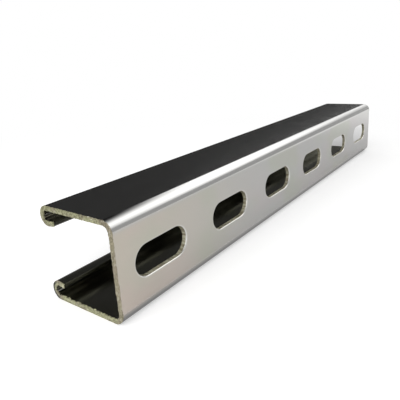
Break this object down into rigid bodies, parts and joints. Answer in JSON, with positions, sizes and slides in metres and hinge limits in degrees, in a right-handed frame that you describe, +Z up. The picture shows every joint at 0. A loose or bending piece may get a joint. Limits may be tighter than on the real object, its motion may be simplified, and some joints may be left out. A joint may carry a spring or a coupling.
{
  "type": "slotted strut channel",
  "caption": "Roll-formed steel C channel with inturned lips and a row of slots along its web, for framing, brackets and pipe supports.",
  "frame": {"origin": "centre of the footprint, on the floor under the lower flange", "axes": "+X along the channel, -Y out of the slotted web, +Y out of the open mouth, +Z up from the lower flange"},
  "size_m": [0.3, 0.041, 0.041],
  "materials": {
    "zinc_steel": "bright zinc plate, smooth as rolled, olive passivate on the cut ends and in the punched slots"
  },
  "bodies": {
    "root": {"strut_channel": "zinc_steel"}
  },
  "joints": []
}
